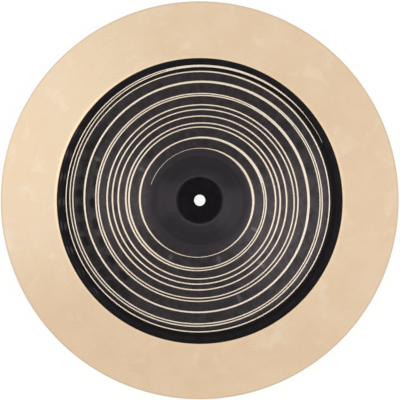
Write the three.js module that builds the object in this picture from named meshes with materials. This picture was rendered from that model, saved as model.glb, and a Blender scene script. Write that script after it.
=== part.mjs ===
// An 18 inch china cymbal, bell up, lying on the flat band between its bow and its flange.
// All of it is one sheet of bronze, pressed and hammered to a flat-topped conical bell, a low bow,
// a flat band and an upturned flange, and thinner towards the rim. The bow is then turned on a
// lathe: two shallow cuts run out from the bell in a spiral, now side by side and now in one track,
// and open the dark raw skin to the bright metal. The flange is buffed to a brilliant finish.
// Sizes are in millimetres. +Z is the cymbal's axis, and z = 0 is where the band rests.

import * as THREE from "three";

// Across the striking side. The bow takes the room between the bell and the band.
const CYMBAL_DIAMETER = 457.2;
const HOLE_DIAMETER = 12.8;
const BELL_TOP_DIAMETER = 53;
const BELL_DIAMETER = 104;
const SHOULDER_WIDTH = 6.5;
const BAND_WIDTH = 16.7;
const FLANGE_WIDTH = 64.9;

// Up the striking side.
const BELL_HEIGHT = 20;
const SHOULDER_DROP = 3.5;
const BOW_HEIGHT = 20;
const BOW_CROWN = 2.5;
const FLANGE_HEIGHT = 21;

// Each bend is spread this far to either side of its corner.
const CREASE_EASE = 1.2;
const SHOULDER_EASE = 3.2;
const FOOT_EASE = 6;
const BEND_EASE = 8;
const ROOT_EASE = 2.5;
const BOW_EASE_SHARE = 0.75;

// The sheet, and what is taken off its edges.
const BELL_THICKNESS = 1.15;
const BOW_THICKNESS = 1;
const BAND_THICKNESS = 0.95;
const RIM_THICKNESS = 0.8;
const HOLE_CHAMFER = 0.3;
const RIM_ROUNDING = 0.35;

// The lathe's two cuts, with their first middle clear of the bell's foot and their last clear of
// the flange's root. A shallower cut is narrower, and a land thinner than the least one is gone.
const CUT_BELL_CLEARANCE = 0.7;
const CUT_FLANGE_CLEARANCE = 5.4;
const CUT_WIDTH = 1.75;
const CUT_DEPTH = 0.15;
const CUT_DEPTH_SHARE = 0.12;
const CUT_FLOOR_SHARE = 0.3;
const LEAST_LAND = 0.3;

// The sheet isn't quite true on the lathe, so the tool bites wider on two opposite sides, most near
// the bell and no more at the last cut.
const OUT_OF_TRUE_SHARE = 0.28;
const WIDE_SIDE_SHARE = 0.22;

// Each cut by its turn, counted clockwise from the +Y side as seen from above. Then come its way
// from the first radius to the last and its width, as shares of those two reaches and CUT_WIDTH.
const LEAD_CUT_SHARES = [
  [-0.2, 0, 0.2],
  [0, 0.012, 0.55],
  [0.12, 0.021, 1.5],
  [0.25, 0.03, 1.5],
  [0.37, 0.043, 1.2],
  [0.5, 0.069, 0.6],
  [0.75, 0.104, 1.25],
  [1, 0.136, 1.3],
  [1.25, 0.158, 0.72],
  [1.5, 0.199, 1.1],
  [2, 0.264, 1.1],
  [2.5, 0.327, 1.1],
  [3, 0.394, 1.1],
  [3.5, 0.457, 1.1],
  [4, 0.527, 1.1],
  [4.5, 0.592, 1],
  [5, 0.661, 1],
  [5.5, 0.726, 0.85],
  [6, 0.807, 0.9],
  [6.5, 0.889, 0.95],
  [6.8, 0.944, 0.75],
  [7, 0.983, 0.95],
  [7.17, 1, 0.3],
];
const SECOND_CUT_SHARES = [
  [0.93, 0.133, 0.4],
  [1, 0.144, 0.9],
  [1.25, 0.182, 0.9],
  [1.5, 0.227, 1.1],
  [2, 0.311, 1.1],
  [2.5, 0.388, 1.1],
  [3, 0.471, 1],
  [3.5, 0.556, 0.95],
  [4, 0.638, 1],
  [4.5, 0.719, 0.85],
  [5, 0.795, 0.9],
  [5.25, 0.822, 0.85],
  [5.5, 0.86, 0.95],
  [5.8, 0.906, 0.8],
  [6, 0.923, 0.95],
  [6.25, 0.934, 0.9],
  [6.5, 0.955, 0.9],
  [6.8, 0.984, 0.75],
  [7, 0.996, 0.85],
  [7.1, 1, 0.5],
];

// Sections round the axis, and straight steps through each bend.
const SECTION_COUNT = 72;
const SMALL_BEND_STEPS = 2;
const BEND_STEPS = 3;
const BOW_STEPS = 4;

// The sheet's three finishes, in the order of the materials below.
const RAW = 0;
const CUT = 1;
const BRILLIANT = 2;

const holeRadius = HOLE_DIAMETER / 2;
const rimRadius = CYMBAL_DIAMETER / 2;
const bellTopRadius = BELL_TOP_DIAMETER / 2;
const bellRadius = BELL_DIAMETER / 2;
const rootRadius = rimRadius - FLANGE_WIDTH;
const bowRadius = rootRadius - BAND_WIDTH;

const bandHeight = BAND_THICKNESS;
const bowHeight = bandHeight + BOW_HEIGHT;
const bellTopHeight = bowHeight + BELL_HEIGHT;

const firstCutRadius = bellRadius + FOOT_EASE + CUT_BELL_CLEARANCE;
const lastCutRadius = rootRadius - ROOT_EASE - CUT_FLANGE_CLEARANCE;

// The corners of the striking side, from the hole out. The sheet runs straight from one to the next.
const hole = {
  name: "hole",
  radius: holeRadius,
  height: bellTopHeight,
  thickness: BELL_THICKNESS,
};
const crease = {
  name: "crease",
  radius: bellTopRadius,
  height: bellTopHeight,
  thickness: BELL_THICKNESS,
  ease: CREASE_EASE,
  steps: SMALL_BEND_STEPS,
};
const shoulder = {
  name: "shoulder",
  radius: bellTopRadius + SHOULDER_WIDTH,
  height: bellTopHeight - SHOULDER_DROP,
  thickness: BELL_THICKNESS,
  ease: SHOULDER_EASE,
  steps: SMALL_BEND_STEPS,
};
const foot = {
  name: "foot",
  radius: bellRadius,
  height: bowHeight,
  thickness: BOW_THICKNESS,
  ease: FOOT_EASE,
  steps: BEND_STEPS,
};
const bow = {
  name: "bow",
  radius: (bellRadius + bowRadius) / 2,
  height: (bowHeight + bandHeight) / 2 + BOW_CROWN,
  thickness: BOW_THICKNESS,
  ease: (BOW_EASE_SHARE * (bowRadius - bellRadius)) / 2,
  steps: BOW_STEPS,
};
const bend = {
  name: "bend",
  radius: bowRadius,
  height: bandHeight,
  thickness: BAND_THICKNESS,
  ease: Math.min(BEND_EASE, BAND_WIDTH / 2),
  steps: BEND_STEPS,
};
const root = {
  name: "root",
  radius: rootRadius,
  height: bandHeight,
  thickness: BAND_THICKNESS,
  ease: Math.min(ROOT_EASE, BAND_WIDTH / 2),
  steps: SMALL_BEND_STEPS,
};
const rim = {
  name: "rim",
  radius: rimRadius,
  height: bandHeight + FLANGE_HEIGHT,
  thickness: RIM_THICKNESS,
};
const corners = [hole, crease, shoulder, foot, bow, bend, root, rim];

const legSlopes = corners
  .slice(1)
  .map((corner, i) => (corner.height - corners[i].height) / (corner.radius - corners[i].radius));

const sheetThickness = new THREE.LinearInterpolant(
  corners.map((corner) => corner.radius),
  corners.map((corner) => corner.thickness),
  1,
);

// The share of a corner's turn that the sheet has made at a distance past the corner.
function turnedShare(past, ease) {
  return THREE.MathUtils.clamp((past + ease) / (2 * ease), 0, 1);
}

// The distance past a corner, as the eased bend counts it: none before the bend, all after it.
function easedDistance(past, ease) {
  if (Math.abs(past) >= ease) return Math.max(past, 0);
  return (past + ease) ** 2 / (4 * ease);
}

// The striking side's height and slope at a radius, with each bend eased.
function strikingSideAt(radius) {
  let height = hole.height + legSlopes[0] * (radius - hole.radius);
  let slope = legSlopes[0];
  corners.slice(1, -1).forEach((corner, i) => {
    const turn = legSlopes[i + 1] - legSlopes[i];
    const past = radius - corner.radius;
    height += turn * easedDistance(past, corner.ease);
    slope += turn * turnedShare(past, corner.ease);
  });
  return { height, slope };
}

// A station is a named point of a section. Its finish is that of the sheet from it to the next one.
function onStrikingSide(name, radius, finish, cutDepth = 0) {
  return { name, radius, height: strikingSideAt(radius).height - cutDepth, finish };
}

// The same place on the underside, one thickness in, square to the sheet.
function onUnderside(name, radius, finish) {
  const { height, slope } = strikingSideAt(radius);
  const thickness = sheetThickness.evaluate(radius)[0];
  const squareOn = new THREE.Vector2(slope, -1).setLength(thickness);
  return {
    name: `under ${name}`,
    radius: radius + squareOn.x,
    height: height + squareOn.y,
    finish,
  };
}

// The radii at which a section steps through a corner's bend.
function bendRadii(corner) {
  const start = corner.radius - corner.ease;
  const stepWidth = (2 * corner.ease) / corner.steps;
  return Array.from({ length: corner.steps + 1 }, (_, step) => start + step * stepWidth);
}

function bendStations(corner, finish, place) {
  return bendRadii(corner).map((radius, step) => place(`${corner.name} ${step}`, radius, finish));
}

// One of the two cuts, as a track that gives its shares at any of its turns.
function latheCut(name, shares) {
  return {
    name,
    firstTurn: shares[0][0],
    lastTurn: shares.at(-1)[0],
    track: new THREE.CubicInterpolant(
      shares.map(([turn]) => turn),
      shares.flatMap(([, reachShare, widthShare]) => [reachShare, widthShare]),
      2,
    ),
  };
}

const latheCuts = [latheCut("lead", LEAD_CUT_SHARES), latheCut("second", SECOND_CUT_SHARES)];
const firstLap = Math.floor(Math.min(...latheCuts.map((cut) => cut.firstTurn)));
const lastLap = Math.floor(Math.max(...latheCuts.map((cut) => cut.lastTurn)));

function cutWidth(widthShare, reachShare, roundShare) {
  const swing = Math.cos(4 * Math.PI * (roundShare - WIDE_SIDE_SHARE));
  return CUT_WIDTH * widthShare * (1 + OUT_OF_TRUE_SHARE * (1 - reachShare) * swing);
}

// The cuts that a section crosses, from the bell out, each named by the lap that it is in.
function crossedCuts(roundShare, lapShift) {
  const crossed = [];
  for (let lap = firstLap; lap <= lastLap; lap += 1) {
    for (const cut of latheCuts) {
      const turn = lap + roundShare;
      if (turn < cut.firstTurn || turn > cut.lastTurn) continue;
      const [reachShare, widthShare] = cut.track.evaluate(turn);
      const middle = THREE.MathUtils.lerp(firstCutRadius, lastCutRadius, reachShare);
      const halfWidth = cutWidth(widthShare, reachShare, roundShare) / 2;
      const name = `${cut.name} cut, lap ${lap + lapShift}`;
      const edges = { inner: middle - halfWidth, outer: middle + halfWidth };
      crossed.push({ innerName: name, outerName: name, ...edges });
    }
  }
  return crossed;
}

// Cuts that leave too thin a land between them run as one wide cut.
function joinedCuts(crossed) {
  const joined = [];
  for (const cut of crossed) {
    const last = joined.at(-1);
    if (last && cut.inner - last.outer < LEAST_LAND) {
      last.inner = Math.min(last.inner, cut.inner);
      last.outer = Math.max(last.outer, cut.outer);
      last.outerName = cut.outerName;
    } else {
      joined.push({ ...cut });
    }
  }
  return joined;
}

// A single cut comes to one lowest point, and a joined one has a floor between two.
function cutStations(cut) {
  const width = cut.outer - cut.inner;
  const depth = Math.min(CUT_DEPTH, CUT_DEPTH_SHARE * width);
  const single = cut.innerName === cut.outerName;
  const floorInset = width * (single ? 1 / 2 : CUT_FLOOR_SHARE);
  const innerFloor = onStrikingSide(`${cut.innerName}, floor`, cut.inner + floorInset, CUT, depth);
  const outerFloor = onStrikingSide(`${cut.outerName}, floor`, cut.outer - floorInset, CUT, depth);
  return [
    onStrikingSide(`${cut.innerName}, inner edge`, cut.inner, CUT),
    ...(single ? [innerFloor] : [innerFloor, outerFloor]),
    onStrikingSide(`${cut.outerName}, outer edge`, cut.outer, RAW),
  ];
}

// The round nose of the rim, which has the cymbal's full diameter.
function rimStations() {
  const edgeRadius = rimRadius - RIM_ROUNDING;
  const noseHeight = rim.height - RIM_THICKNESS / 2;
  return [
    onStrikingSide("rim edge", edgeRadius, BRILLIANT),
    { name: "rim nose", radius: rimRadius, height: noseHeight, finish: BRILLIANT },
    onUnderside("rim edge", edgeRadius, BRILLIANT),
  ];
}

function strikingSideStations(roundShare, lapShift) {
  return [
    onStrikingSide("hole edge", holeRadius + HOLE_CHAMFER, RAW),
    ...[crease, shoulder, foot].flatMap((corner) => bendStations(corner, RAW, onStrikingSide)),
    ...joinedCuts(crossedCuts(roundShare, lapShift)).flatMap(cutStations),
    ...bendStations(root, BRILLIANT, onStrikingSide),
  ];
}

function undersideStations() {
  const inward = (corner, finish) => bendStations(corner, finish, onUnderside).reverse();
  return [
    ...inward(root, BRILLIANT),
    ...[bend, bow, foot, shoulder, crease].flatMap((corner) => inward(corner, RAW)),
    onUnderside("hole edge", holeRadius + HOLE_CHAMFER, RAW),
  ];
}

// The bore, from its lower chamfer up to its upper one.
function boreStations() {
  const top = bellTopHeight - HOLE_CHAMFER;
  const bottom = bellTopHeight - BELL_THICKNESS + HOLE_CHAMFER;
  return [
    { name: "bore bottom", radius: holeRadius, height: bottom, finish: RAW },
    { name: "bore top", radius: holeRadius, height: top, finish: RAW },
  ];
}

// A section is a closed outline of the sheet on one side of the axis, where its cuts lie there.
function section(roundShare, lapShift = 0) {
  return [
    ...strikingSideStations(roundShare, lapShift),
    ...rimStations(),
    ...undersideStations(),
    ...boreStations(),
  ];
}

// Faces between two neighbouring sections. Stations of the same name are joined, and where one side
// has a station more, at the end of a cut or of a land, its faces draw in to a point of the other.
function stitch(left, right, addFace) {
  const leftNames = new Set(left.map((station) => station.name));
  const rightNames = new Set(right.map((station) => station.name));
  const leftRing = [...left, left[0]];
  const rightRing = [...right, right[0]];
  let i = 0;
  let j = 0;
  while (i < left.length || j < right.length) {
    const [l, nextL] = [leftRing[i], leftRing[i + 1]];
    const [r, nextR] = [rightRing[j], rightRing[j + 1]];
    if (nextL && !rightNames.has(nextL.name)) {
      addFace(l, r, nextL, l.finish);
      i += 1;
    } else if (nextR && !leftNames.has(nextR.name)) {
      addFace(l, r, nextR, r.finish);
      j += 1;
    } else {
      addFace(l, r, nextR, l.finish);
      addFace(l, nextR, nextL, l.finish);
      i += 1;
      j += 1;
    }
  }
}

// The sheet as sections set round the axis, each one stitched to the next. A cut that leaves the
// last section in one lap enters the first section in the next, so the seam closes one lap on.
function sheetGeometry() {
  const positions = [];
  const sections = [];
  for (let k = 0; k < SECTION_COUNT; k += 1) {
    const roundShare = k / SECTION_COUNT;
    const angle = 2 * Math.PI * roundShare;
    const stations = section(roundShare);
    for (const station of stations) {
      station.vertex = positions.length / 3;
      positions.push(station.radius * Math.sin(angle), station.radius * Math.cos(angle), station.height);
    }
    sections.push(stations);
  }
  const seam = section(0, -1).map((station, i) => ({ ...station, vertex: sections[0][i].vertex }));

  const faces = [[], [], []];
  const addFace = (a, b, c, finish) => faces[finish].push(a.vertex, b.vertex, c.vertex);
  sections.forEach((stations, k) => stitch(stations, sections[k + 1] ?? seam, addFace));

  const geometry = new THREE.BufferGeometry();
  geometry.setAttribute("position", new THREE.Float32BufferAttribute(positions, 3));
  geometry.setIndex(faces.flat());
  let start = 0;
  faces.forEach((indices, finish) => {
    geometry.addGroup(start, indices.length, finish);
    start += indices.length;
  });
  geometry.computeVertexNormals();
  return geometry;
}

// Raw bronze keeps the dark skin of its heat treatment.
const rawBronze = new THREE.MeshStandardMaterial({ color: 0x3b3839, roughness: 0.5, metalness: 0.6 });
// Where the tool has cut through the skin the metal is bright, with fine turning marks.
const cutBronze = new THREE.MeshStandardMaterial({ color: 0xe3d4bb, roughness: 0.35, metalness: 1 });
// The flange is buffed smooth.
const brilliantBronze = new THREE.MeshStandardMaterial({ color: 0xe8ceac, roughness: 0.2, metalness: 1 });

const sheet = new THREE.Mesh(sheetGeometry(), [rawBronze, cutBronze, brilliantBronze]);
sheet.name = "cymbal";

const chinaCymbal = new THREE.Group();
chinaCymbal.add(sheet);

export default chinaCymbal;
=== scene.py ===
import math
import random
from collections import namedtuple
from functools import lru_cache
from itertools import pairwise

import bpy
import numpy as np
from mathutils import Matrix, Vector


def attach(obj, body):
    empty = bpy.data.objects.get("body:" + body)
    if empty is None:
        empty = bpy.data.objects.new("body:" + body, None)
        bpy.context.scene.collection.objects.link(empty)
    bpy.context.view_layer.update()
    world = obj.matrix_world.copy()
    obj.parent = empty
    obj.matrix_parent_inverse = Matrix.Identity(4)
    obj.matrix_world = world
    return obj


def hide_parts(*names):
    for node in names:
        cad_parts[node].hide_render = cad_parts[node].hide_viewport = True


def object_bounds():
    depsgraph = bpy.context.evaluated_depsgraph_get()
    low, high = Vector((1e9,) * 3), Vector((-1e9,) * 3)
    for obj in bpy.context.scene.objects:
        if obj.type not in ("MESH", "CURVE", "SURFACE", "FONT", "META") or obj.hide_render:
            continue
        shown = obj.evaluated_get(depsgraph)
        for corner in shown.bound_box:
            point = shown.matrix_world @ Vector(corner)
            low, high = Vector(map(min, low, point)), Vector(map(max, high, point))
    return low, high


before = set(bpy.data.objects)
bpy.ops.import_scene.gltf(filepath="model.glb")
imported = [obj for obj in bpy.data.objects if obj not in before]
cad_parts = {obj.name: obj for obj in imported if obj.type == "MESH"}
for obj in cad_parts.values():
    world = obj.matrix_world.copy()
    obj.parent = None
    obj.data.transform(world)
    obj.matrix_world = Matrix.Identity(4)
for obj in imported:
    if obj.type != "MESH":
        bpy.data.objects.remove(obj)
cad_low, cad_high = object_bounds()

# The sheet
# One disc of bell bronze about a millimetre thick. It is pressed to a flat-topped bell and a low
# bow, folded up into a flange outside a flat band, and thinned towards the rim. Bell, band, flange,
# rim and underside are one turned surface here. The bow's striking side has a section of its own.
MM = 0.001
RIM_RADIUS = cad_high.x
BELL_TOP_HEIGHT = cad_high.z
HOLE_RADIUS = 6.4 * MM
BELL_TOP_RADIUS = 26.5 * MM
SHOULDER_RADIUS = 33 * MM
BELL_RADIUS = 52 * MM
BOW_RADIUS = 147 * MM
ROOT_RADIUS = 163.7 * MM
SHOULDER_DROP = 3.5 * MM
BELL_HEIGHT = 20 * MM
BOW_CROWN = 2.5 * MM
FLANGE_HEIGHT = 21 * MM
BELL_THICKNESS = 1.15 * MM
BOW_THICKNESS = 1 * MM
BAND_THICKNESS = 0.95 * MM
RIM_THICKNESS = 0.8 * MM
HOLE_CHAMFER = 0.3 * MM
RIM_ROUNDING = 0.35 * MM
BOW_EASE_SHARE = 0.75
# The rounded rim runs through points so far up and down its half thickness.
RIM_NOSE_SHARES = (-0.7, -0.35, 0, 0.35, 0.7)

Corner = namedtuple("Corner", "radius height thickness ease")
bow_height = BELL_TOP_HEIGHT - BELL_HEIGHT
bow_middle_radius = (BELL_RADIUS + BOW_RADIUS) / 2
bow_middle_height = (bow_height + BAND_THICKNESS) / 2 + BOW_CROWN
bow_ease = BOW_EASE_SHARE * (BOW_RADIUS - BELL_RADIUS) / 2
CORNERS = [
    Corner(HOLE_RADIUS, BELL_TOP_HEIGHT, BELL_THICKNESS, 0),
    Corner(BELL_TOP_RADIUS, BELL_TOP_HEIGHT, BELL_THICKNESS, 1.2 * MM),
    Corner(SHOULDER_RADIUS, BELL_TOP_HEIGHT - SHOULDER_DROP, BELL_THICKNESS, 3.2 * MM),
    Corner(BELL_RADIUS, bow_height, BOW_THICKNESS, 6 * MM),
    Corner(bow_middle_radius, bow_middle_height, BOW_THICKNESS, bow_ease),
    Corner(BOW_RADIUS, BAND_THICKNESS, BAND_THICKNESS, 8 * MM),
    Corner(ROOT_RADIUS, BAND_THICKNESS, BAND_THICKNESS, 2.5 * MM),
    Corner(RIM_RADIUS, BAND_THICKNESS + FLANGE_HEIGHT, RIM_THICKNESS, 0),
]
LEG_SLOPES = [(b.height - a.height) / (b.radius - a.radius) for a, b in pairwise(CORNERS)]

# The bow's striking side lies between these two rings.
BOW_INNER_RING = 57 * MM
BOW_OUTER_RING = 157.5 * MM

# Columns of faces round the axis, steps through a bend, and the longest steps between bends.
COLUMNS = 400
BEND_STEPS = 4
STRIKING_STEP = 3.3 * MM
BAND_STEP = 1 * MM
UNDERSIDE_STEP = 6 * MM
# Vertices this near to each other are one.
WELD = 0.03 * MM


def striking_side(radius):
    """The striking side's height and slope at a radius, with each bend eased."""
    height = BELL_TOP_HEIGHT
    slope = LEG_SLOPES[0]
    for corner, before, after in zip(CORNERS[1:-1], LEG_SLOPES, LEG_SLOPES[1:]):
        past = radius - corner.radius
        turned = min(max((past + corner.ease) / (2 * corner.ease), 0), 1)
        eased = max(past, 0) if abs(past) >= corner.ease else turned**2 * corner.ease
        height += (after - before) * eased
        slope += (after - before) * turned
    return height, slope


def striking_point(radius):
    return radius, striking_side(radius)[0]


def underside_point(radius):
    """The point of the underside that lies one thickness in from the striking side."""
    height, slope = striking_side(radius)
    thickness = np.interp(radius, [c.radius for c in CORNERS], [c.thickness for c in CORNERS])
    inward = thickness / math.hypot(slope, 1)
    return radius + slope * inward, height - inward


def ring_radii(inner, outer, longest_step):
    """Radii between two rings, with short steps through each bend and longer ones between."""
    marks = [inner, outer]
    for corner in CORNERS[1:-1]:
        steps = range(BEND_STEPS + 1)
        marks += [corner.radius + corner.ease * (2 * k / BEND_STEPS - 1) for k in steps]
    marks = sorted(mark for mark in marks if inner <= mark <= outer)
    radii = [outer]
    for a, b in pairwise(marks):
        count = math.ceil((b - a) / longest_step)
        radii += [a + (b - a) * k / count for k in range(count)]
    return sorted(set(radii))


def draw_outline(name, points):
    """A line of edges through points given as distance from the axis and height, made in XZ."""
    bpy.ops.object.select_all(action="DESELECT")
    bpy.ops.mesh.primitive_plane_add(size=MM, location=(0, 0, 0))
    line = bpy.context.object
    line.name = name
    bpy.ops.object.mode_set(mode="EDIT")
    bpy.ops.mesh.merge(type="CENTER")
    x, z = points[0]
    bpy.ops.transform.translate(value=(x, 0, z))
    for (x0, z0), (x1, z1) in pairwise(points):
        move = {"value": (x1 - x0, 0, z1 - z0)}
        bpy.ops.mesh.extrude_vertices_move(TRANSFORM_OT_translate=move)
    return line


# The outline runs round the sheet's section from the bow's inner ring to its outer one: in over the
# bell, through the hole, out under the whole sheet, round the rim, and in over flange and band.
hole_edge = HOLE_RADIUS + HOLE_CHAMFER
rim_edge = RIM_RADIUS - RIM_ROUNDING
bell_outline = [
    striking_point(r) for r in reversed(ring_radii(hole_edge, BOW_INNER_RING, STRIKING_STEP))
]
bore_outline = [
    (HOLE_RADIUS, BELL_TOP_HEIGHT - HOLE_CHAMFER),
    (HOLE_RADIUS, BELL_TOP_HEIGHT - BELL_THICKNESS + HOLE_CHAMFER),
]
underside_outline = [
    underside_point(r) for r in ring_radii(hole_edge, rim_edge, UNDERSIDE_STEP)
]
nose_middle = np.add(striking_point(rim_edge), underside_point(rim_edge)) / 2
nose_outline = []
for share in RIM_NOSE_SHARES:
    lift = share * RIM_THICKNESS / 2
    reach = (RIM_RADIUS - nose_middle[0]) * math.sqrt(1 - share**2)
    nose_outline.append((nose_middle[0] + reach, nose_middle[1] + lift))
flange_outline = [
    striking_point(r) for r in reversed(ring_radii(ROOT_RADIUS, rim_edge, STRIKING_STEP))
]
band_outline = [
    striking_point(r) for r in reversed(ring_radii(BOW_OUTER_RING, ROOT_RADIUS, BAND_STEP)[:-1])
]
lower_outline = bore_outline + underside_outline + nose_outline
outline = bell_outline + lower_outline + flange_outline + band_outline
sheet = draw_outline("china_cymbal", outline)
bpy.ops.mesh.select_all(action="SELECT")
bpy.ops.mesh.spin(steps=COLUMNS, angle=2 * math.pi, center=(0, 0, 0), axis=(0, 0, 1))
bpy.ops.mesh.select_all(action="SELECT")
bpy.ops.mesh.remove_doubles(threshold=WELD)
bpy.ops.object.mode_set(mode="OBJECT")


def linear(hex_colour):
    """A colour written as sRGB hex, turned linear."""
    shares = [(hex_colour >> shift & 0xFF) / 255 for shift in (16, 8, 0)]
    return (*[c / 12.92 if c <= 0.04045 else ((c + 0.055) / 1.055) ** 2.4 for c in shares], 1)


def add_node(tree, kind, inputs=None, **settings):
    """A node with its settings, and its inputs set to values or linked to nodes or sockets.

    A node given as an input stands for the first output that its settings leave in use, and an
    input is found in the same way, by its name or its number among those in use.
    """
    node = tree.nodes.new(kind)
    for name, value in settings.items():
        setattr(node, name, value)
    in_use = [socket for socket in node.inputs if socket.enabled]
    for key, value in (inputs or {}).items():
        socket = in_use[key] if isinstance(key, int) else next(s for s in in_use if s.name == key)
        if isinstance(value, bpy.types.Node):
            value = next(output for output in value.outputs if output.enabled)
        if isinstance(value, bpy.types.NodeSocket):
            tree.links.new(value, socket)
        else:
            socket.default_value = value
    return node


def start_material(name):
    """A material without nodes, and its empty tree."""
    material = bpy.data.materials.new(name)
    material.use_nodes = True
    material.node_tree.nodes.clear()
    return material, material.node_tree


def set_stops(ramp, stops):
    """Give a ramp its stops: for each a place from 0 to 1, and a level of grey."""
    elements = ramp.color_ramp.elements
    for k in range(len(stops) - len(elements)):
        elements.new(0.5)
    for element, (place, level) in zip(elements, stops):
        element.position = place
        element.color = (level, level, level, 1)


def distance_from_axis(tree, shift=0):
    """Nodes for a point's distance from the axis, and for the level direction in which it lies.

    With a shift they count from a line that lies so far off the axis, on its -Y side.
    """
    where = add_node(tree, "ShaderNodeTexCoord").outputs["Object"]
    level = {0: where, 1: (1, 1, 0), 2: (0, shift, 0)}
    flat = add_node(tree, "ShaderNodeVectorMath", level, operation="MULTIPLY_ADD")
    radius = add_node(tree, "ShaderNodeVectorMath", {0: flat}, operation="LENGTH")
    spoke = add_node(tree, "ShaderNodeVectorMath", {0: flat}, operation="NORMALIZE")
    return radius, spoke


def turned_noise(tree, marks_round, mark_width):
    """Noise that follows the turning: so many marks to a turn, each so wide across."""
    radius, spoke = distance_from_axis(tree)
    out = add_node(tree, "ShaderNodeMath", {0: radius, 1: 1 / mark_width}, operation="MULTIPLY")
    rings = add_node(tree, "ShaderNodeCombineXYZ", {"Z": out})
    wind = {0: spoke, 1: (marks_round / math.tau,) * 3, 2: rings}
    wound = add_node(tree, "ShaderNodeVectorMath", wind, operation="MULTIPLY_ADD")
    return add_node(tree, "ShaderNodeTexNoise", {"Vector": wound, "Scale": 1, "Detail": 2})


# Raw bell bronze keeps the dark oxide skin of its heat treatment: near black and smooth, with a
# soft sheen and faint clouds where the skin is thicker. It is so thin that its shine is mostly the
# metal's. Over the bell its colour holds painted shade at the bell top's edge and at the foot, and
# a painted highlight on the shoulder and the wall. Pressing dulled it at the foot.
SKIN_METALLIC = 0.9
CLOUD_SIZE = 11 * MM
FOOT_ROUGHNESS = 0.36
# The foot is dull so far to both sides of the bow's inner ring, and evenly dull so far.
FOOT_REACH = 7 * MM
FOOT_EVEN_REACH = 3 * MM
# How light the skin is painted at a radius, as a share of its own tone: painted shade at the bell
# top's edge and at the foot, and a painted highlight on the shoulder and the wall.
BELL_PAINTED_LIGHT_SHARES = [
    (BELL_TOP_RADIUS - 2 * MM, 0.9),
    (BELL_TOP_RADIUS + 0.2 * MM, 0.5),
    (BELL_TOP_RADIUS + 1.4 * MM, 1.7),
    (SHOULDER_RADIUS, 1.7),
    (SHOULDER_RADIUS + 7 * MM, 1.4),
    (BELL_RADIUS - 4 * MM, 1.5),
    (BELL_RADIUS + 0.6 * MM, 1.15),
    (BELL_RADIUS + 4 * MM, 1.45),
]


def skin_tone_with_painted_light(tree, clouds, radius):
    """The smooth skin's colour, with its clouds and its painted shade and highlight by radius."""
    blacks = {"Factor": clouds, "A": linear(0x221F23), "B": linear(0x2A272A)}
    black = add_node(tree, "ShaderNodeMix", blacks, data_type="RGBA")
    reach = add_node(tree, "ShaderNodeMath", {0: radius, 1: BOW_INNER_RING}, operation="DIVIDE")
    # Painted shade and painted highlight over the bell, by radius.
    painted_light_share = add_node(tree, "ShaderNodeValToRGB", {"Fac": reach})
    set_stops(painted_light_share, [(place / BOW_INNER_RING, share) for place, share in BELL_PAINTED_LIGHT_SHARES])
    return add_node(tree, "ShaderNodeVectorMath", {0: black, 1: painted_light_share}, operation="MULTIPLY")


def dulled_sheen(tree, clouds, radius):
    """The smooth skin's roughness, which follows its clouds and is higher at the bell's foot."""
    cloudy = {"Value": clouds, "From Min": 0.3, "From Max": 0.7, "To Min": 0.13, "To Max": 0.2}
    sheen = add_node(tree, "ShaderNodeMapRange", cloudy)
    past = add_node(tree, "ShaderNodeMath", {0: radius, 1: BOW_INNER_RING}, operation="SUBTRACT")
    off_foot = add_node(tree, "ShaderNodeMath", {0: past}, operation="ABSOLUTE")
    to_foot = {"Value": off_foot, "From Min": FOOT_REACH, "From Max": FOOT_EVEN_REACH}
    at_foot = add_node(tree, "ShaderNodeMapRange", to_foot)
    return add_node(tree, "ShaderNodeMix", {"Factor": at_foot, "A": sheen, "B": FOOT_ROUGHNESS})


def smooth_skin():
    material, tree = start_material("raw bell bronze with smooth oxide skin")
    where = add_node(tree, "ShaderNodeTexCoord").outputs["Object"]
    grain = {"Vector": where, "Scale": 1 / CLOUD_SIZE, "Detail": 3}
    clouds = add_node(tree, "ShaderNodeTexNoise", grain)
    radius = distance_from_axis(tree)[0]
    finish = {
        "Base Color": skin_tone_with_painted_light(tree, clouds, radius),
        "Metallic": SKIN_METALLIC,
        "Roughness": dulled_sheen(tree, clouds, radius),
    }
    skin = add_node(tree, "ShaderNodeBsdfPrincipled", finish)
    add_node(tree, "ShaderNodeOutputMaterial", {"Surface": skin})
    return material


# Brilliant bell bronze is buffed on a wheel: bright, pale gold, with soft patches where the wheel
# bore harder. It is painted greyer near the rim, which is painted shade, and is darker and rougher
# in the fold. Its hairlines round the axis are finer than a pixel, so they are drawn wider here.
PATCH_SIZE = 38 * MM
SMEAR_SIZE = 26 * MM
HAIRLINES_ROUND = 5
HAIRLINE_WIDTH = 1.3 * MM
# Between these radii the colour greys towards the rim: painted shade.
RIM_SHADE_FROM = RIM_RADIUS - 2.4 * MM
RIM_SHADE_TO = RIM_RADIUS - 1.2 * MM
FOLD_DULL_FROM = ROOT_RADIUS + 3.6 * MM
FOLD_DULL_TO = ROOT_RADIUS + 2 * MM
FOLD_ROUGHNESS = 0.4
# The mask that kept the skin inside it reached a millimetre up the flange and sat a little off
# centre. The faces from a millimetre inside the fold have this finish, which draws the mask's edge.
MASK_RADIUS = ROOT_RADIUS + 0.9 * MM
MASK_EDGE = 0.3 * MM
MASK_SHIFT = 0.8 * MM
BUFFED_FACES_RADIUS = ROOT_RADIUS - 1 * MM


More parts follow.
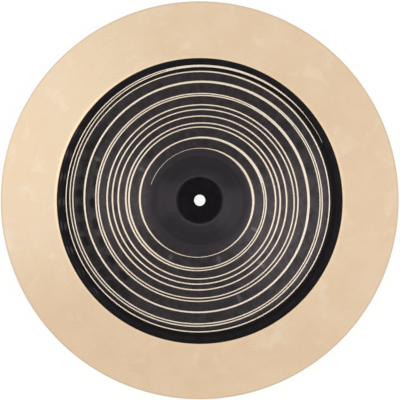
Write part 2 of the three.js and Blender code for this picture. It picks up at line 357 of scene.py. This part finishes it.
def buffed_tone(tree, where, patches):
    """The buffed metal's colour, with its patches, smears and hairlines, and painted shade at the rim.
    """
    golds = {"Factor": patches, "A": linear(0xE2C8A8), "B": linear(0xE8CFB1)}
    gold = add_node(tree, "ShaderNodeMix", golds, data_type="RGBA")

    swirls = {"Vector": where, "Scale": 1 / SMEAR_SIZE, "Detail": 3, "Distortion": 0.5}
    smears = add_node(tree, "ShaderNodeTexNoise", swirls)
    faint = {"Value": smears, "From Min": 0.56, "From Max": 0.72, "To Max": 0.35}
    smear_share = add_node(tree, "ShaderNodeMapRange", faint)
    paler = {"Factor": smear_share, "A": gold, "B": linear(0xF2DFC8)}
    smeared = add_node(tree, "ShaderNodeMix", paler, data_type="RGBA")

    hairlines = turned_noise(tree, HAIRLINES_ROUND, HAIRLINE_WIDTH)
    slight = {"Value": hairlines, "From Min": 0.3, "From Max": 0.7, "To Min": 0.99, "To Max": 1.01}
    hairline_share = add_node(tree, "ShaderNodeMapRange", slight)
    both = {0: smeared, 1: hairline_share}
    lined = add_node(tree, "ShaderNodeVectorMath", both, operation="MULTIPLY")

    # Painted shade: the colour greys towards the rim.
    radius = distance_from_axis(tree)[0]
    to_rim = {"Value": radius, "From Min": RIM_SHADE_FROM, "From Max": RIM_SHADE_TO}
    in_rim_shade = add_node(tree, "ShaderNodeMapRange", to_rim)
    duller = {"Factor": in_rim_shade, "A": lined, "B": linear(0xD8C2A6)}
    return add_node(tree, "ShaderNodeMix", duller, data_type="RGBA")


def buffed_bronze():
    material, tree = start_material("buffed bell bronze")
    where = add_node(tree, "ShaderNodeTexCoord").outputs["Object"]
    marbling = {"Vector": where, "Scale": 1 / PATCH_SIZE, "Detail": 4, "Roughness": 0.55}
    marble = add_node(tree, "ShaderNodeTexNoise", marbling)
    evened = {"Value": marble, "From Min": 0.35, "From Max": 0.65}
    patches = add_node(tree, "ShaderNodeMapRange", evened)
    tone = buffed_tone(tree, where, patches)
    shine = {"Value": patches, "To Min": 0.17, "To Max": 0.14}
    gloss = add_node(tree, "ShaderNodeMapRange", shine)

    radius = distance_from_axis(tree, MASK_SHIFT)[0]
    to_fold = {"Value": radius, "From Min": FOLD_DULL_FROM, "From Max": FOLD_DULL_TO}
    in_fold = add_node(tree, "ShaderNodeMapRange", to_fold)
    duller = {"Factor": in_fold, "A": tone, "B": linear(0xDBC3A4)}
    folded = add_node(tree, "ShaderNodeMix", duller, data_type="RGBA")
    rougher = {"Factor": in_fold, "A": gloss, "B": FOLD_ROUGHNESS}
    roughness = add_node(tree, "ShaderNodeMix", rougher)

    inner_edge, outer_edge = MASK_RADIUS - MASK_EDGE, MASK_RADIUS + MASK_EDGE
    edge = {"Value": radius, "From Min": inner_edge, "From Max": outer_edge}
    past_mask = add_node(tree, "ShaderNodeMapRange", edge)
    kept_skin = {"Factor": past_mask, "A": linear(0x131113), "B": folded}
    masked = add_node(tree, "ShaderNodeMix", kept_skin, data_type="RGBA")
    bared = {"Value": past_mask, "To Min": SKIN_METALLIC, "To Max": 1}
    metallic = add_node(tree, "ShaderNodeMapRange", bared)

    finish = {"Base Color": masked, "Metallic": metallic, "Roughness": roughness}
    metal = add_node(tree, "ShaderNodeBsdfPrincipled", finish)
    add_node(tree, "ShaderNodeOutputMaterial", {"Surface": metal})
    return material


sheet.data.materials.append(smooth_skin())
sheet.data.materials.append(buffed_bronze())
for face in sheet.data.polygons:
    is_buffed = math.hypot(face.center.x, face.center.y) > BUFFED_FACES_RADIUS
    face.material_index = 1 if is_buffed else 0

# The bow
# The bow's striking side, turned on a lathe: two shallow cuts run out from the bell's foot in a
# spiral, part and meet again, and open the raw skin to bright metal. It is one ribbon of sheet
# here, wound round the axis lap beside lap, with each lap's edge welded to the next.
CUT_WIDTH = 1.75 * MM
CUT_DEPTH = 0.15 * MM
# A narrow cut is shallower: no deeper than this share of its width.
CUT_DEPTH_SHARE = 0.12
# Each of a cut's two walls takes this share of its width.
CUT_WALL_SHARE = 0.15
FIRST_CUT_RADIUS = 58.7 * MM
LAST_CUT_RADIUS = 155.8 * MM
# A land thinner than this is torn away.
LEAST_LAND = 0.3 * MM
# The sheet isn't quite true on the lathe, so the tool bites wider on two opposite sides, most near
# the bell and no more at the last cut. The first of the two lies at this share of a turn.
OUT_OF_TRUE_SHARE = 0.28
WIDE_SIDE_SHARE = 0.22

# A row is one place on a cut. It gives the cut's turn there, counted clockwise from the +Y side as
# seen from above, its way from the first cut radius to the last, and its width over CUT_WIDTH.
LEAD_CUT_SHARES = [
    (-0.2, 0, 0.3),
    (0, 0.012, 0.55),
    (0.12, 0.021, 1.5),
    (0.25, 0.03, 1.5),
    (0.37, 0.043, 1.2),
    (0.5, 0.069, 0.6),
    (0.75, 0.104, 1.25),
    (1, 0.136, 1.3),
    (1.25, 0.158, 0.72),
    (1.5, 0.199, 1.1),
    (2, 0.264, 1.1),
    (2.5, 0.327, 1.1),
    (3, 0.394, 1.1),
    (3.5, 0.457, 1.1),
    (4, 0.527, 1.1),
    (4.5, 0.592, 1),
    (5, 0.661, 1),
    (5.5, 0.726, 0.85),
    (6, 0.807, 0.9),
    (6.5, 0.889, 0.95),
    (6.8, 0.944, 0.75),
    (7, 0.983, 0.95),
    (7.06, 0.99, 1.2),
    (7.18, 1.001, 0.25),
]
SECOND_CUT_SHARES = [
    (0.93, 0.133, 0.4),
    (1, 0.144, 0.9),
    (1.25, 0.182, 0.9),
    (1.5, 0.227, 1.1),
    (2, 0.311, 1.1),
    (2.5, 0.388, 1.1),
    (3, 0.471, 1),
    (3.5, 0.556, 0.95),
    (4, 0.638, 1),
    (4.5, 0.719, 0.85),
    (5, 0.795, 0.9),
    (5.25, 0.822, 0.85),
    (5.5, 0.86, 0.95),
    (5.8, 0.906, 0.8),
    (6, 0.923, 0.95),
    (6.06, 0.9255, 1.3),
    (6.15, 0.929, 1.15),
    (6.25, 0.934, 0.9),
    (6.5, 0.955, 0.9),
    (6.8, 0.984, 0.75),
    (7, 0.996, 0.85),
    (7.06, 0.999, 1),
    (7.14, 1.002, 0.4),
]
CUTS = {"lead": LEAD_CUT_SHARES, "second": SECOND_CUT_SHARES}

# The ribbon's stations across a lap are counted outwards from 0. Each cut takes four of them, an
# edge, two feet and an edge, and this is the first of each.
FIRST_STATIONS = {"lead": 2, "second": 9}
LAST_STATION = 14
# The ribbon starts at no width a lap before the first cut, and runs out to none after the last.
FIRST_TURN = -1.25
LAST_TURN = 8.25
FIRST_COLUMN = round(FIRST_TURN * COLUMNS)
LAST_COLUMN = round(LAST_TURN * COLUMNS)


def cut_shares(rows, turn):
    """A cut's reach and width shares at a turn, on a smooth curve through its rows."""
    k = max(i for i in range(len(rows) - 1) if rows[i][0] <= turn or i == 0)
    here, there = np.array(rows[k]), np.array(rows[k + 1])
    span = there[0] - here[0]
    before = np.array(rows[k - 1]) if k else np.array([here[0] - span, *there[1:]])
    after = np.array([there[0] + span, *here[1:]]) if k + 2 == len(rows) else np.array(rows[k + 2])
    bend_in = span / 2 / (here[0] - before[0])
    bend_out = span / 2 / (after[0] - there[0])
    p = (turn - here[0]) / span
    weights = (
        -bend_in * p**3 + 2 * bend_in * p**2 - bend_in * p,
        (1 + bend_in) * p**3 + (-1.5 - 2 * bend_in) * p**2 + (-0.5 + bend_in) * p + 1,
        (-1 - bend_out) * p**3 + (1.5 + bend_out) * p**2 + 0.5 * p,
        bend_out * p**3 - bend_out * p**2,
    )
    return sum(weight * row[1:] for weight, row in zip(weights, (before, here, there, after)))


def is_cut(cut, column):
    """Whether one of the cuts runs at a column, counted on from lap to lap."""
    return CUTS[cut][0][0] <= column / COLUMNS <= CUTS[cut][-1][0]


@lru_cache(maxsize=None)
def cut_edges(cut, column):
    """The inner and outer edge of a cut at a column, or of its end where it doesn't run."""
    turn = min(max(column / COLUMNS, CUTS[cut][0][0]), CUTS[cut][-1][0])
    reach, width = cut_shares(CUTS[cut], turn)
    middle = FIRST_CUT_RADIUS + (LAST_CUT_RADIUS - FIRST_CUT_RADIUS) * reach
    swing = math.cos(4 * math.pi * (turn - WIDE_SIDE_SHARE))
    half = CUT_WIDTH * width * (1 + OUT_OF_TRUE_SHARE * (1 - reach) * swing) / 2
    return middle - half, middle + half


def land_between(inside, outside):
    """The edges of a land between two cuts, which meet where the land is too thin to stand."""
    if outside - inside < LEAST_LAND:
        middle = (inside + outside) / 2
        return middle, middle
    return inside, outside


@lru_cache(maxsize=None)
def lap_land(column):
    """The land just inside the lead cut, which two laps of the ribbon share."""
    lap_before = column - COLUMNS
    if is_cut("second", lap_before):
        inside = cut_edges("second", lap_before)[1]
    elif lap_before / COLUMNS < LEAD_CUT_SHARES[0][0]:
        inside = BOW_INNER_RING
    else:
        inside = cut_edges("lead", lap_before)[1]
    past_lead = column / COLUMNS > LEAD_CUT_SHARES[-1][0]
    outside = BOW_OUTER_RING if past_lead else cut_edges("lead", column)[0]
    return land_between(inside, outside)


def land_beside(cut, is_outer, column):
    """The edges of the land that lies against a cut, on its outer or its inner side."""
    if cut == "lead" and not is_outer:
        return lap_land(column)
    if cut == "second" and is_outer or not is_cut("second", column):
        return lap_land(column + COLUMNS)
    return land_between(cut_edges("lead", column)[1], cut_edges("second", column)[0])


def lap_edge(column):
    """The line between two laps, in the middle of the land that they share."""
    if column <= FIRST_COLUMN + COLUMNS:
        return BOW_INNER_RING
    if column >= LAST_COLUMN:
        return BOW_OUTER_RING
    return sum(lap_land(column)) / 2


def cut_depth(radius, column):
    """How deep the cuts are at a place, with steep walls and flat floors."""
    deepest = 0
    for lap in (column - COLUMNS, column, column + COLUMNS):
        for cut in CUTS:
            if not is_cut(cut, lap):
                continue
            inner, outer = cut_edges(cut, lap)
            inside = min(radius - inner, outer - radius) / (CUT_WALL_SHARE * (outer - inner))
            bottom = min(CUT_DEPTH, CUT_DEPTH_SHARE * (outer - inner))
            deepest = max(deepest, bottom * min(inside, 1))
    return deepest


@lru_cache(maxsize=None)
def ribbon_section(column):
    """The radius and height of each station across the ribbon at a column."""
    placed = {0: lap_edge(column), LAST_STATION: lap_edge(column + COLUMNS)}
    starts = {"lead": lap_land(column)[1], "second": cut_edges("second", column)[0]}
    stops = {"lead": cut_edges("lead", column)[1], "second": lap_land(column + COLUMNS)[0]}
    if not is_cut("second", column):
        stops["lead"] = lap_land(column + COLUMNS)[0]
    elif is_cut("lead", column):
        stops["lead"], starts["second"] = land_between(stops["lead"], starts["second"])
    for cut, first in FIRST_STATIONS.items():
        if is_cut(cut, column):
            inner, outer = cut_edges(cut, column)
            wall = CUT_WALL_SHARE * (outer - inner)
            for k, radius in enumerate((inner, inner + wall, outer - wall, outer)):
                placed[first + k] = min(max(radius, starts[cut]), stops[cut])
    stations = sorted(placed)
    radii = np.interp(range(LAST_STATION + 1), stations, [placed[k] for k in stations])
    return [(r, striking_side(r)[0] - cut_depth(r, column)) for r in radii]


laps = LAST_TURN - FIRST_TURN
ribbon = draw_outline("ribbon", [(1 + k, 0) for k in range(LAST_STATION + 1)])
bpy.ops.object.mode_set(mode="OBJECT")
winding = ribbon.modifiers.new("winding", "SCREW")
winding.angle = 2 * math.pi * laps
winding.steps = winding.render_steps = round(COLUMNS * laps)
winding.screw_offset = laps
bpy.ops.object.modifier_apply(modifier=winding.name)

# Each vertex of the plain screw says its station by its distance from the axis and its column by
# its height. The faces take their finish by that, and the vertices then go to their place.
addresses = []
for vertex in ribbon.data.vertices:
    vertex_station = round(math.hypot(vertex.co.x, vertex.co.y)) - 1
    addresses.append((vertex_station, FIRST_COLUMN + round(vertex.co.z * COLUMNS)))

# Between the cuts the skin is scuffed by the tool's rest and by handling: greyer than the smooth
# skin and more like satin, with fine scratches outwards. It is painted black in the hammer marks,
# which is painted shade, and paler in a few painted glints. The scratches are drawn coarser than
# they are, so that they show.
SCUFF_SIZE = 7 * MM
SCRATCHES_ROUND = 420
SCRATCH_LENGTH = 9 * MM
# The scratches show so much beside the clouds.
SCRATCH_SHARE = 0.35
# From the bow's inner ring to here the skin fades from what it is at the bell's foot.
FOOT_TONE_RADIUS = 64 * MM
# From the first of these to the second it grows as smooth as it is in the band.
BAND_FADE_FROM = 146 * MM
BAND_FADE_TO = 153 * MM


def scuffed_tone(tree):
    """The scuffed skin's colour, with its clouds and its scratches."""
    where = add_node(tree, "ShaderNodeTexCoord").outputs["Object"]
    grain = {"Vector": where, "Scale": 1 / SCUFF_SIZE, "Detail": 4, "Roughness": 0.6}
    clouds = add_node(tree, "ShaderNodeTexNoise", grain)
    scratches = turned_noise(tree, SCRATCHES_ROUND, SCRATCH_LENGTH)
    marks = {0: scratches, 1: SCRATCH_SHARE, 2: clouds}
    scuffs = add_node(tree, "ShaderNodeMath", marks, operation="MULTIPLY_ADD")
    evened = {"Value": scuffs, "From Min": 0.45, "From Max": 0.9}
    scuffed = add_node(tree, "ShaderNodeMapRange", evened)
    greys = {"Factor": scuffed, "A": linear(0x272426), "B": linear(0x3A3537)}
    return add_node(tree, "ShaderNodeMix", greys, data_type="RGBA")


def scuffed_skin():
    material, tree = start_material("raw bell bronze with scuffed oxide skin")
    radius = distance_from_axis(tree)[0]
    to_bell = {"Value": radius, "From Min": FOOT_TONE_RADIUS, "From Max": BOW_INNER_RING}
    at_bell = add_node(tree, "ShaderNodeMapRange", to_bell)
    to_band = {"Value": radius, "From Min": BAND_FADE_FROM, "From Max": BAND_FADE_TO}
    at_band = add_node(tree, "ShaderNodeMapRange", to_band)
    # Painted shade: black in the hammer marks, for the dark that they reflect.
    painted_shade_in_dents = add_node(tree, "ShaderNodeAttribute", attribute_name="painted_shade_in_dents").outputs["Fac"]
    # Painted highlight: the glints, paler streaks on the skin.
    painted_glint = add_node(tree, "ShaderNodeAttribute", attribute_name="painted_glint").outputs["Fac"]

    tone = scuffed_tone(tree)
    # Painted shade blackens the hammer marks, and painted glints pale the skin beside them.
    changes = [
        (at_bell, 0x302D31),
        (at_band, 0x272425),
        (painted_shade_in_dents, 0x09090B),
        (painted_glint, 0x6C676B),
    ]
    for share, colour in changes:
        change = {"Factor": share, "A": tone, "B": linear(colour)}
        tone = add_node(tree, "ShaderNodeMix", change, data_type="RGBA")
    satin = add_node(tree, "ShaderNodeMapRange", {"Value": at_band, "To Min": 0.2, "To Max": 0.16})
    duller = {"Factor": at_bell, "A": satin, "B": FOOT_ROUGHNESS}
    roughness = add_node(tree, "ShaderNodeMix", duller)

    finish = {"Base Color": tone, "Metallic": SKIN_METALLIC, "Roughness": roughness}
    skin = add_node(tree, "ShaderNodeBsdfPrincipled", finish)
    add_node(tree, "ShaderNodeOutputMaterial", {"Surface": skin})
    return material


# Where the tool has cut through the skin the bare bronze is bright and fine-turned, so it spreads
# the light across the cut, with faint ticks where the tool chattered. The turning is drawn half a
# millimetre wide, coarser than it is, so that it shows.
TURNING_ROUND = 6
TURNING_WIDTH = 0.5 * MM
CHATTER_ROUND = 520
CHATTER_WIDTH = 4 * MM


def cut_bronze():
    material, tree = start_material("lathe-cut bell bronze")
    turning = turned_noise(tree, TURNING_ROUND, TURNING_WIDTH)
    chatter = turned_noise(tree, CHATTER_ROUND, CHATTER_WIDTH)
    marks = add_node(tree, "ShaderNodeMath", {0: turning, 1: chatter}, operation="ADD")
    evened = {"Value": marks, "From Min": 0.75, "From Max": 1.25}
    marked = add_node(tree, "ShaderNodeMapRange", evened)
    brights = {"Factor": marked, "A": linear(0xFAEBD7), "B": linear(0xFFF9EE)}
    finish = {
        "Base Color": add_node(tree, "ShaderNodeMix", brights, data_type="RGBA"),
        "Metallic": 1,
        "Roughness": 0.6,
        "Anisotropic": 0.9,
        "Anisotropic Rotation": 0.25,
        "Tangent": add_node(tree, "ShaderNodeTangent", direction_type="RADIAL", axis="Z"),
    }
    metal = add_node(tree, "ShaderNodeBsdfPrincipled", finish)
    add_node(tree, "ShaderNodeOutputMaterial", {"Surface": metal})
    return material


# Along both edges of a cut the tool has torn the skin and smeared it over the wall: dull and brown.
TEARS_ROUND = 300
TEAR_WIDTH = 1 * MM


def torn_skin():
    material, tree = start_material("torn oxide skin on bell bronze")
    tears = turned_noise(tree, TEARS_ROUND, TEAR_WIDTH)
    browns = {"Factor": tears, "A": linear(0x6B553F), "B": linear(0xA88A68)}
    tone = add_node(tree, "ShaderNodeMix", browns, data_type="RGBA")
    finish = {"Base Color": tone, "Metallic": 0.8, "Roughness": 0.5}
    wall = add_node(tree, "ShaderNodeBsdfPrincipled", finish)
    add_node(tree, "ShaderNodeOutputMaterial", {"Surface": wall})
    return material


ribbon.data.materials.append(scuffed_skin())
ribbon.data.materials.append(cut_bronze())
ribbon.data.materials.append(torn_skin())
# A cut's faces lie past its first three stations: a wall, the floor and a wall. A wall against a
# land that is torn away has the floor's finish.
for face in ribbon.data.polygons:
    corners = [addresses[v] for v in face.vertices]
    nearest = min(station for station, column in corners)
    face_column = min(column for station, column in corners)
    for name, first in FIRST_STATIONS.items():
        is_wall = nearest in (first, first + 2)
        if nearest != first + 1 and not is_wall:
            continue
        if all(is_cut(name, column) for station, column in corners):
            inside, outside = land_beside(name, nearest > first, face_column)
            face.material_index = 2 if is_wall and outside > inside else 1
for vertex, (station, column) in zip(ribbon.data.vertices, addresses):
    radius, height = ribbon_section(column)[station]
    angle = 2 * math.pi * column / COLUMNS
    vertex.co = (radius * math.sin(angle), radius * math.cos(angle), height)

# Where cuts merge or end, faces thinner than this are slivers, and are dissolved.
SLIVER = 0.003 * MM
bpy.ops.object.select_all(action="DESELECT")
ribbon.select_set(True)
sheet.select_set(True)
bpy.context.view_layer.objects.active = sheet
bpy.ops.object.join()
bpy.ops.object.mode_set(mode="EDIT")
bpy.ops.mesh.select_all(action="SELECT")
bpy.ops.mesh.remove_doubles(threshold=WELD)
bpy.ops.mesh.dissolve_degenerate(threshold=SLIVER)
bpy.ops.mesh.select_all(action="SELECT")
bpy.ops.mesh.normals_make_consistent(inside=False)
bpy.ops.object.mode_set(mode="OBJECT")

# The hammer marks
# Rows of shallow dents, struck into the sheet from its striking side to shape and temper it. They
# are long and deep on the left of the bow, where their floors are painted black as painted shade
# for the dark that they reflect, and so soft on the flange that they only stir its shine.

# Radii and a dent's own sizes are in millimetres, its length round the axis and its width outwards.
# First, last and spacing are in degrees clockwise from the +Y side as seen from above. The painted
# shade is how black a dent's floor is painted, as a share, for the dark that it reflects.
HammerRow = namedtuple("HammerRow", "radius first last spacing length width depth burnish")
HAMMER_ROWS = [
    HammerRow(122.8, 226, 304, 10.6, 15, 8.5, 0.25, 0.95),
    HammerRow(139, 222, 308, 8, 38, 21, 0.05, 0.5),
    HammerRow(140, 226, 306, 7.8, 14, 9.5, 0.28, 0.95),
    HammerRow(159.5, 230, 306, 9.8, 17, 8, 0.42, 0),
    HammerRow(98, 238, 306, 13, 13, 8, 0.07, 0.35),
    HammerRow(78, 60, 340, 23, 13, 8, 0.07, 0.25),
    HammerRow(97, 48, 200, 17, 13, 8, 0.07, 0.25),
    HammerRow(131, 50, 200, 12, 14, 9, 0.08, 0.3),
    HammerRow(159.5, 0, 228, 14, 14, 8, 0.08, 0),
    HammerRow(173, 40, 400, 22.5, 20, 16, 0.04, 0),
    HammerRow(192, 51, 411, 22.5, 22, 18, 0.04, 0),
]
# The more this is, the farther up its slope a dent's painted shade reaches.
PAINTED_SHADE_REACH = 2.4
# No blow falls quite in its place, and none is quite as hard as the next.
RADIUS_SCATTER = 1 * MM
AZIMUTH_SCATTER_SHARE = 0.1
LEAST_BLOW_SHARE = 0.65

vertices = sheet.data.vertices
places = np.empty(len(vertices) * 3)
vertices.foreach_get("co", places)
places = places.reshape(-1, 3)


def inside_oval(azimuth, radius, half_out, half_round):
    """How far inside an oval mark each vertex lies, from 0 at its edge to 1 at its middle.

    The mark's half sizes are given outwards and round the axis.
    """
    turn = math.radians(azimuth)
    outward = np.array([math.sin(turn), math.cos(turn)])
    apart = places[:, :2] - radius * outward
    out = apart @ outward / half_out
    along = apart @ (outward[1], -outward[0]) / half_round
    return np.clip(1 - out**2 - along**2, 0, 1)


random.seed(18)
dent = np.zeros(len(vertices))
burnish = np.zeros(len(vertices))
for row in HAMMER_ROWS:
    for k in range(round((row.last - row.first) / row.spacing)):
        scatter = random.uniform(-1, 1) * AZIMUTH_SCATTER_SHARE
        dent_azimuth = row.first + row.spacing * (k + scatter)
        dent_radius = row.radius * MM + random.uniform(-1, 1) * RADIUS_SCATTER
        weight = random.uniform(LEAST_BLOW_SHARE, 1)
        hollow = inside_oval(dent_azimuth, dent_radius, row.width / 2 * MM, row.length / 2 * MM)
        dent = np.maximum(dent, weight * row.depth * MM * hollow**2)
        # Painted shade: the dent's floor is painted black, for the dark that it reflects.
        burnish = np.maximum(burnish, weight * row.burnish * np.minimum(PAINTED_SHADE_REACH * hollow, 1))
# The band still rests flat, so no dent reaches below it.
places[:, 2] = np.where(places[:, 2] > 0, np.maximum(places[:, 2] - dent, 0), places[:, 2])
vertices.foreach_set("co", places.ravel())
sheet.data.attributes.new("painted_shade_in_dents", "FLOAT", "POINT").data.foreach_set("value", burnish)

# A few short painted glints: pale streaks outwards on the skin, a painted highlight where the flank
# of a hammer mark catches the light. An azimuth is in degrees clockwise from the +Y side, a radius
# and a length are in millimetres.
PaintedGlint = namedtuple("PaintedGlint", "azimuth radius length")
PAINTED_GLINTS = [
    PaintedGlint(118, 71.5, 12),
    PaintedGlint(136, 102, 12),
    PaintedGlint(158, 121, 13),
    PaintedGlint(162, 71, 11),
    PaintedGlint(207, 73.5, 9),
    PaintedGlint(292, 126, 12),
    PaintedGlint(298, 76, 12),
]
GLINT_WIDTH = 6 * MM
GLINT_SHARE = 0.36
glint = np.zeros(len(vertices))
for mark in PAINTED_GLINTS:
    in_glint = inside_oval(mark.azimuth, mark.radius * MM, mark.length / 2 * MM, GLINT_WIDTH / 2)
    # Painted highlight: each glint's share of the pale colour.
    glint = np.maximum(glint, GLINT_SHARE * in_glint)
sheet.data.attributes.new("painted_glint", "FLOAT", "POINT").data.foreach_set("value", glint)
sheet.data.update()

# Sharper bends than this stay crisp, such as the edges of the cuts.
SMOOTH_ANGLE = math.radians(11)
bpy.ops.object.shade_smooth_by_angle(angle=SMOOTH_ANGLE)

# The sheet's layout on a flat picture of its finish: the striking side as one large disc, the
# underside as a small one in the corner beside it. Each is named by its radius there.
TOP_DISC = 0.42
UNDER_DISC = 0.16
layout = sheet.data.uv_layers.new(name="OFBake")
corner_vertices = np.empty(len(sheet.data.loops), dtype=int)
sheet.data.loops.foreach_get("vertex_index", corner_vertices)
faces_up = np.concatenate(
    [np.full(face.loop_total, face.normal.z >= 0) for face in sheet.data.polygons]
)
spread = places[corner_vertices, :2] / RIM_RADIUS
on_top = TOP_DISC + spread * TOP_DISC
under = 1 - UNDER_DISC + spread * UNDER_DISC
layout.uv.foreach_set("vector", np.where(faces_up[:, None], on_top, under).ravel())
layout.active_render = True

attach(sheet, "root")
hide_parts("cymbal")

# The floor
# A round sheet of white paper, just under the band that the cymbal rests on. It catches the soft
# shadow. To the camera and in reflections most of its white is a glow, so that it stays white.
FLOOR_RADIUS = 6
FLOOR_SIDES = 96
FLOOR_GAP = 0.2 * MM
GLOW_SHARE = 0.94


def white_paper():
    material, tree = start_material("white paper")
    diffuse = add_node(tree, "ShaderNodeBsdfDiffuse", {"Color": linear(0xF6F6F6)})
    glow = add_node(tree, "ShaderNodeEmission", {"Color": linear(0xFFFFFF), "Strength": 1})
    path = add_node(tree, "ShaderNodeLightPath")
    seen = path.outputs["Is Camera Ray"]
    for ray in ("Is Glossy Ray", "Is Transmission Ray"):
        either = {0: seen, 1: path.outputs[ray]}
        seen = add_node(tree, "ShaderNodeMath", either, operation="ADD", use_clamp=True)
    share = add_node(tree, "ShaderNodeMath", {0: seen, 1: GLOW_SHARE}, operation="MULTIPLY")
    mixed = add_node(tree, "ShaderNodeMixShader", {0: share, 1: diffuse, 2: glow})
    add_node(tree, "ShaderNodeOutputMaterial", {"Surface": mixed})
    return material


bpy.ops.object.select_all(action="DESELECT")
bpy.ops.mesh.primitive_circle_add(
    vertices=FLOOR_SIDES, radius=FLOOR_RADIUS, fill_type="NGON", location=(0, 0, -FLOOR_GAP)
)
floor = bpy.context.object
floor.name = "floor"
floor.data.materials.append(white_paper())

# The light tent
# A round tent of white cloth with the camera in its dark top, a brighter hoop half way down, soft
# lamps at four sides, and two faintly tinted sides.

# A level is given by how many degrees it lies off the zenith. Azimuths are in degrees clockwise
# from the +Y side as seen from above. A lamp or a tint fades out to both sides of its azimuth, and
# its reach is the cosine of how far round it ends.
TENT_LEVELS = [
    (0, 0.25),
    (8, 0.25),
    (13, 1.03),
    (28, 1.05),
    (31, 0.95),
    (42, 0.95),
    (45, 1.6),
    (53, 1.6),
    (56, 0.9),
    (82, 0.82),
]
RIGHT_LEVELS = [
    (0, 0.1),
    (8, 0.1),
    (13, 0.9),
    (18, 1.1),
    (24, 1.9),
    (28, 2.2),
    (31, 0),
    (48, 0),
    (57, 0.28),
    (82, 0.56),
]
LEFT_LEVELS = [
    (0, 0.1),
    (8, 0.1),
    (13, 0.95),
    (18, 1.1),
    (24, 1.5),
    (28, 0.6),
    (30, 0),
    (48, 0),
    (57, 0.28),
    (82, 0.46),
]
END_LEVELS = [(42, 0), (45, 0.35), (53, 0.35), (56, 0)]
LAMP_COLOUR = (1, 0.96, 0.94)
Lamp = namedtuple("Lamp", "azimuth reach levels")
LAMPS = [
    Lamp(107, 0.65, RIGHT_LEVELS),
    Lamp(270, 0.78, LEFT_LEVELS),
    Lamp(0, 0.3, END_LEVELS),
    Lamp(180, 0.3, END_LEVELS),
]
Tint = namedtuple("Tint", "azimuth reach colour")
TINTS = [
    Tint(112, 0.35, (1.04, 1.08, 1.11, 1)),
    Tint(8, 0.35, (0.965, 0.945, 0.925, 1)),
]


def level_down(tree, lean, stops):
    """The level at a place on the tent, by its lean off the zenith as a sine."""
    ramp = add_node(tree, "ShaderNodeValToRGB", {"Fac": lean})
    set_stops(ramp, [(math.sin(math.radians(angle)), level) for angle, level in stops])
    return ramp


def share_round(tree, spoke, side):
    """How near a place on the tent lies to a lamp's or a tint's azimuth: 1 at it, 0 past the reach."""
    turn = math.radians(side.azimuth)
    toward = {0: spoke, 1: (math.sin(turn), math.cos(turn), 0)}
    facing = add_node(tree, "ShaderNodeVectorMath", toward, operation="DOT_PRODUCT")
    near = {"Value": facing, "From Min": side.reach, "From Max": 1}
    return add_node(tree, "ShaderNodeMapRange", near, interpolation_type="SMOOTHSTEP")


def light_tent():
    world = bpy.data.worlds.new("light tent")
    world.use_nodes = True
    tree = world.node_tree
    tree.nodes.clear()
    where = add_node(tree, "ShaderNodeTexCoord").outputs["Generated"]
    flat = add_node(tree, "ShaderNodeVectorMath", {0: where, 1: (1, 1, 0)}, operation="MULTIPLY")
    lean = add_node(tree, "ShaderNodeVectorMath", {0: flat}, operation="LENGTH")
    spoke = add_node(tree, "ShaderNodeVectorMath", {0: flat}, operation="NORMALIZE")
    cloth = (1, 1, 1, 1)
    for tint in TINTS:
        tinted = {"Factor": share_round(tree, spoke, tint), "A": cloth, "B": tint.colour}
        cloth = add_node(tree, "ShaderNodeMix", tinted, data_type="RGBA")
    even = {0: cloth, 1: level_down(tree, lean, TENT_LEVELS)}
    lit = add_node(tree, "ShaderNodeVectorMath", even, operation="MULTIPLY")
    for lamp in LAMPS:
        across = {0: share_round(tree, spoke, lamp), 1: level_down(tree, lean, lamp.levels)}
        beam = add_node(tree, "ShaderNodeMath", across, operation="MULTIPLY")
        added = {0: beam, 1: LAMP_COLOUR, 2: lit}
        lit = add_node(tree, "ShaderNodeVectorMath", added, operation="MULTIPLY_ADD")
    light = add_node(tree, "ShaderNodeBackground", {"Color": lit, "Strength": 1})
    add_node(tree, "ShaderNodeOutputWorld", {"Surface": light})
    return world


bpy.context.scene.world = light_tent()

# The camera
# It looks straight down from far off through a long lens, with the rim almost filling the frame.
# The object's middle lies a third of a millimetre off the picture's.
LENS = 800
SIGHT = 100
CAMERA_SHIFT = 0.34 * MM
# The frame is so many parts wide, and the rim so many.
FRAME_PARTS = 200
RIM_PARTS = 199
camera_data = bpy.data.cameras.new("camera")
camera_data.lens = LENS
camera_data.clip_end = SIGHT
camera = bpy.data.objects.new("camera", camera_data)
bpy.context.scene.collection.objects.link(camera)
half_frame = RIM_RADIUS * FRAME_PARTS / RIM_PARTS
rim_plane = BAND_THICKNESS + FLANGE_HEIGHT
camera_height = rim_plane + half_frame * 2 * camera_data.lens / camera_data.sensor_width
camera.location = (CAMERA_SHIFT, CAMERA_SHIFT, camera_height)
bpy.context.scene.camera = camera
bpy.context.scene.view_settings.view_transform = "Standard"
